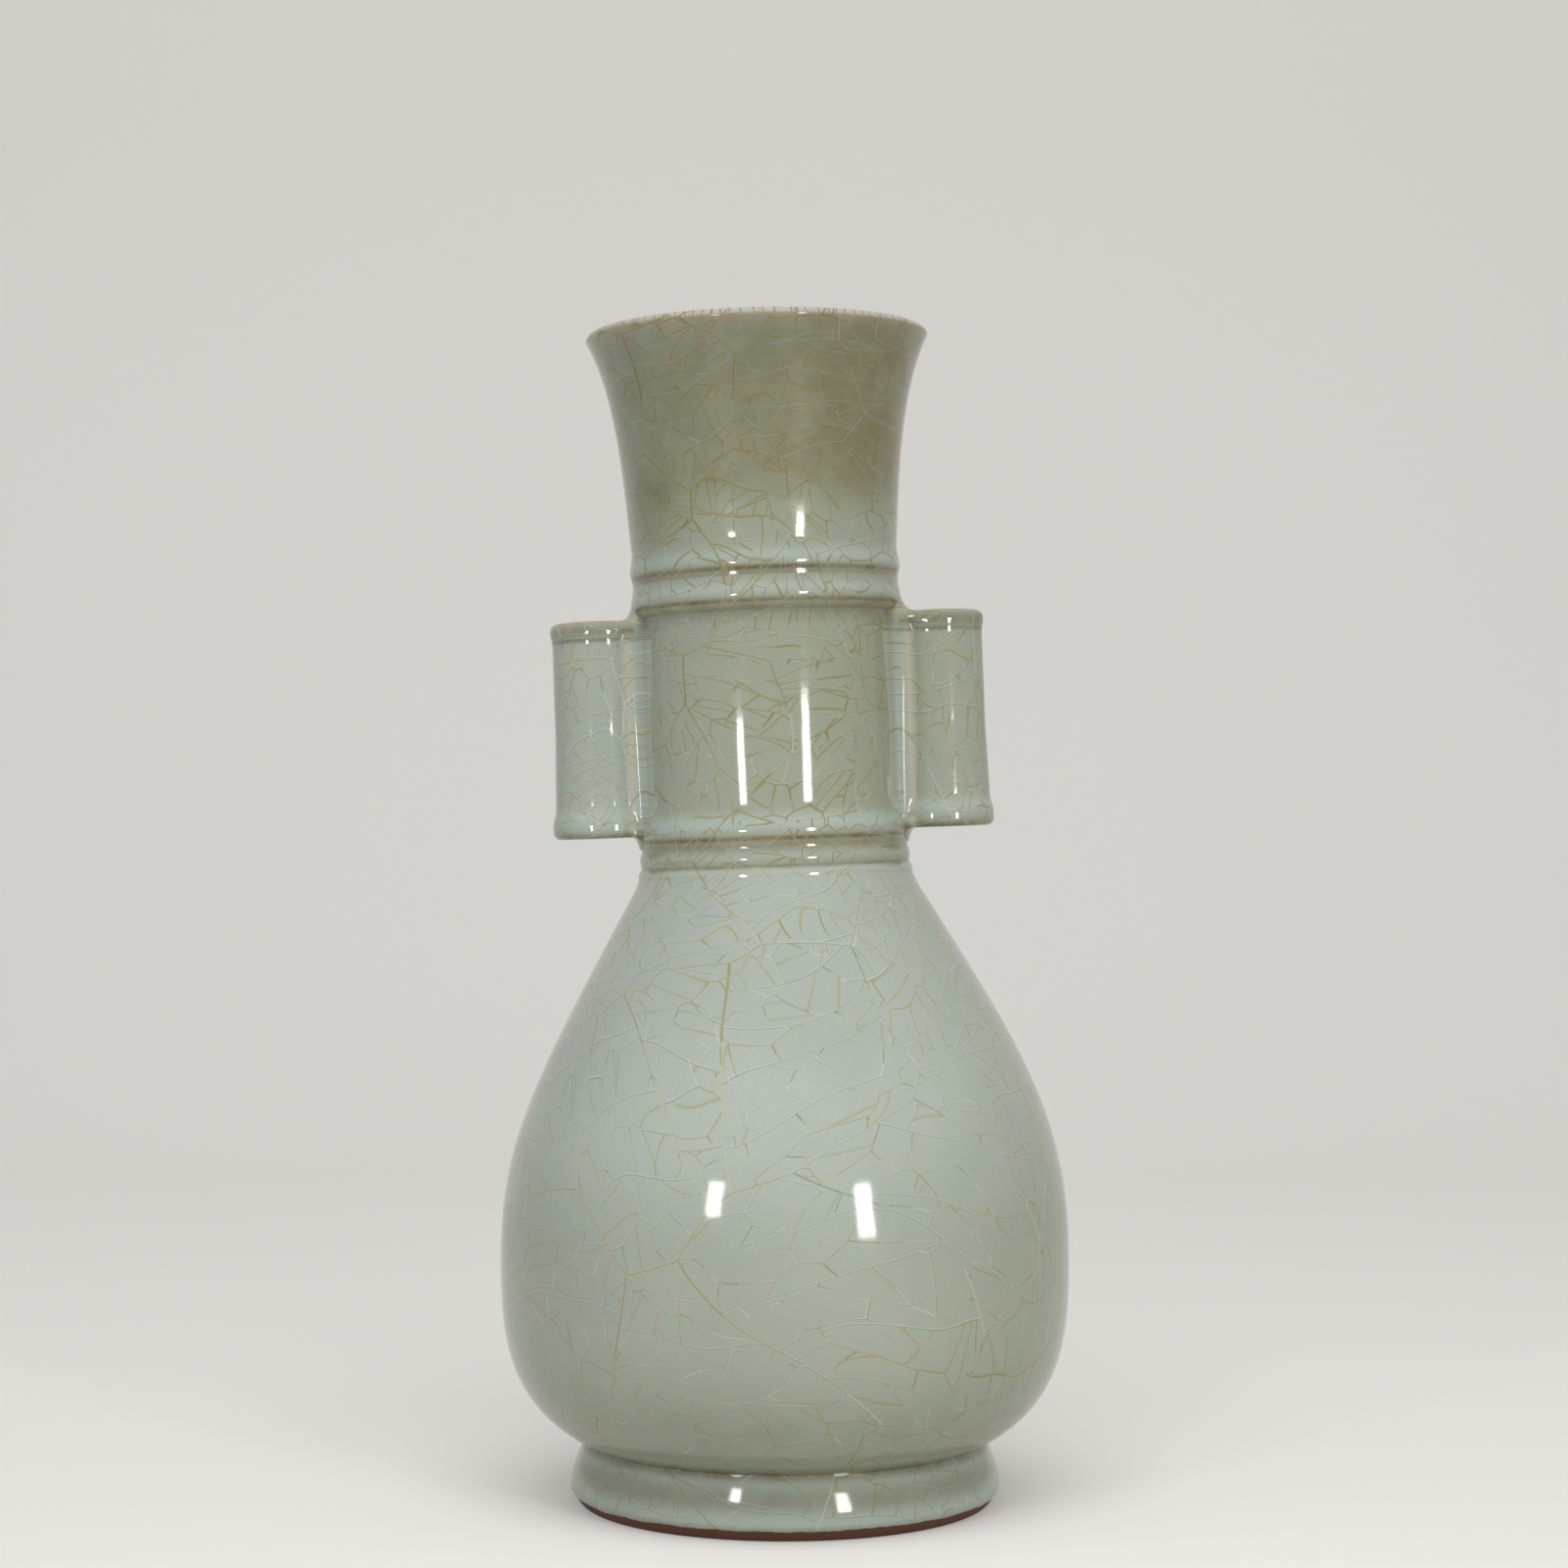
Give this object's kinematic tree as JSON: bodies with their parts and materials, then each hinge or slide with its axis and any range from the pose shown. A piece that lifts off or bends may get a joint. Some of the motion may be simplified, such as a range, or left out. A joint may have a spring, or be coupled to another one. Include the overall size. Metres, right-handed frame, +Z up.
{
  "type": "vase",
  "caption": "Pear-shaped stoneware vase on a foot ring, with a flared mouth, raised bands and a pierced tube on each side of the neck, in crackled celadon glaze.",
  "frame": {"origin": "centre of the vase's box at the height of the foot ring's resting face", "axes": "+Z up through the vase, +X towards the right handle, -Y towards the viewer"},
  "size_m": [0.1708, 0.1708, 0.3524],
  "materials": {
    "celadon_glaze": "glossy crackled celadon glaze",
    "foot_glaze": "thin stained glaze over brown clay, bare at the foot edge"
  },
  "bodies": {
    "root": {"foot_ring": "foot_glaze", "bowl": "celadon_glaze", "shoulder": "celadon_glaze", "neck": "celadon_glaze", "mouth": "celadon_glaze", "right_handle": "celadon_glaze", "left_handle": "celadon_glaze"}
  },
  "joints": []
}
